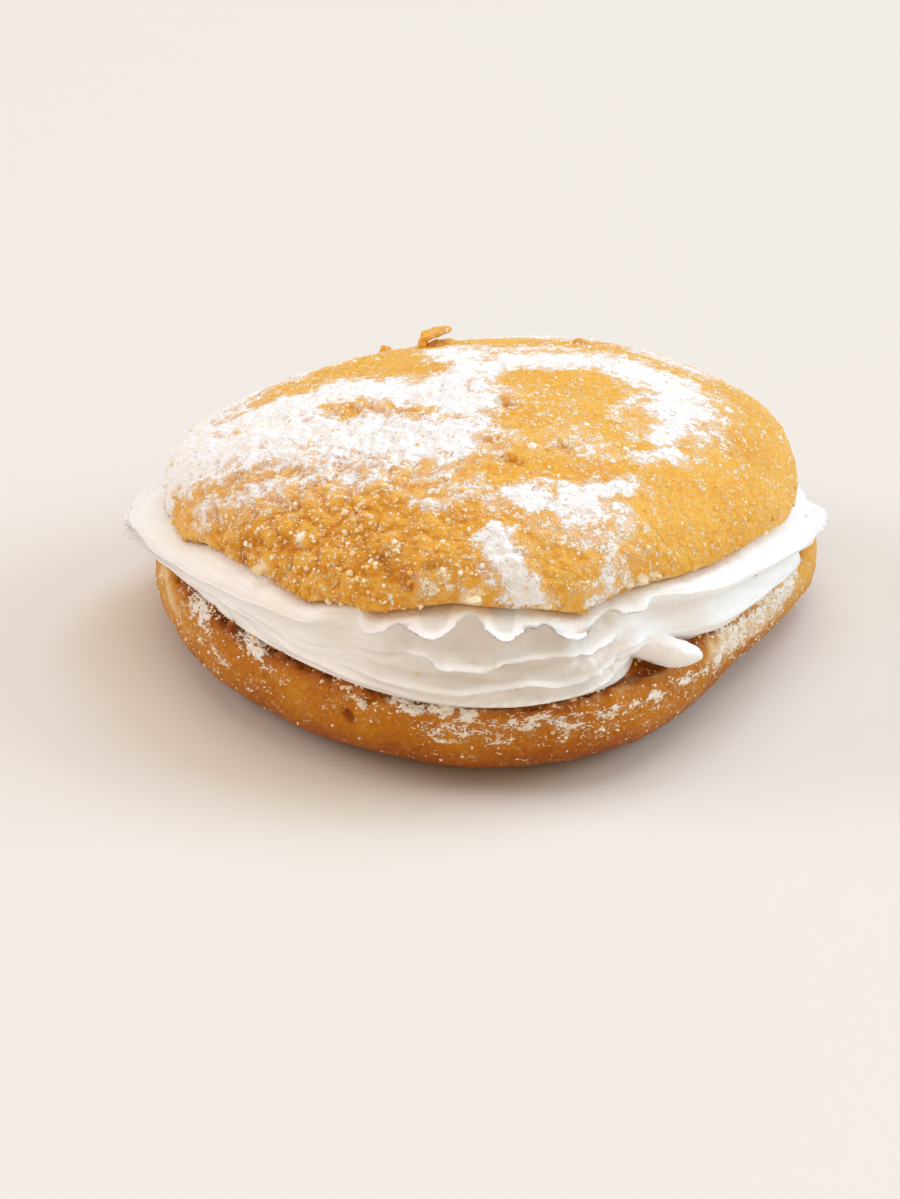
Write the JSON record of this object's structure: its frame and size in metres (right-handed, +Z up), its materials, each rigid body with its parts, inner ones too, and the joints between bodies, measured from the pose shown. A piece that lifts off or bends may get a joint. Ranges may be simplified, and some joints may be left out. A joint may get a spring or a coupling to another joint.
{
  "type": "cream bun",
  "caption": "Round sugared bun, split and filled right through with piped cream, its lid opened a little towards the front.",
  "frame": {"origin": "the floor point below the middle of the bun's bounding box", "axes": "+Z up from the floor, -Y towards the front, where the lid is open, +X to the bun's right as the picture shows it"},
  "size_m": [0.106, 0.1034, 0.0408],
  "materials": {
    "heel_crust": "satin baked crust, darker towards the foot, with crackled sugar at the front",
    "piped_cream": "smooth whipped cream with a soft sheen",
    "lid_crust": "golden sugared crust dusted with powdered sugar"
  },
  "bodies": {
    "root": {"bun_bottom": "heel_crust", "cream": "piped_cream", "bun_top": "lid_crust"}
  },
  "joints": []
}
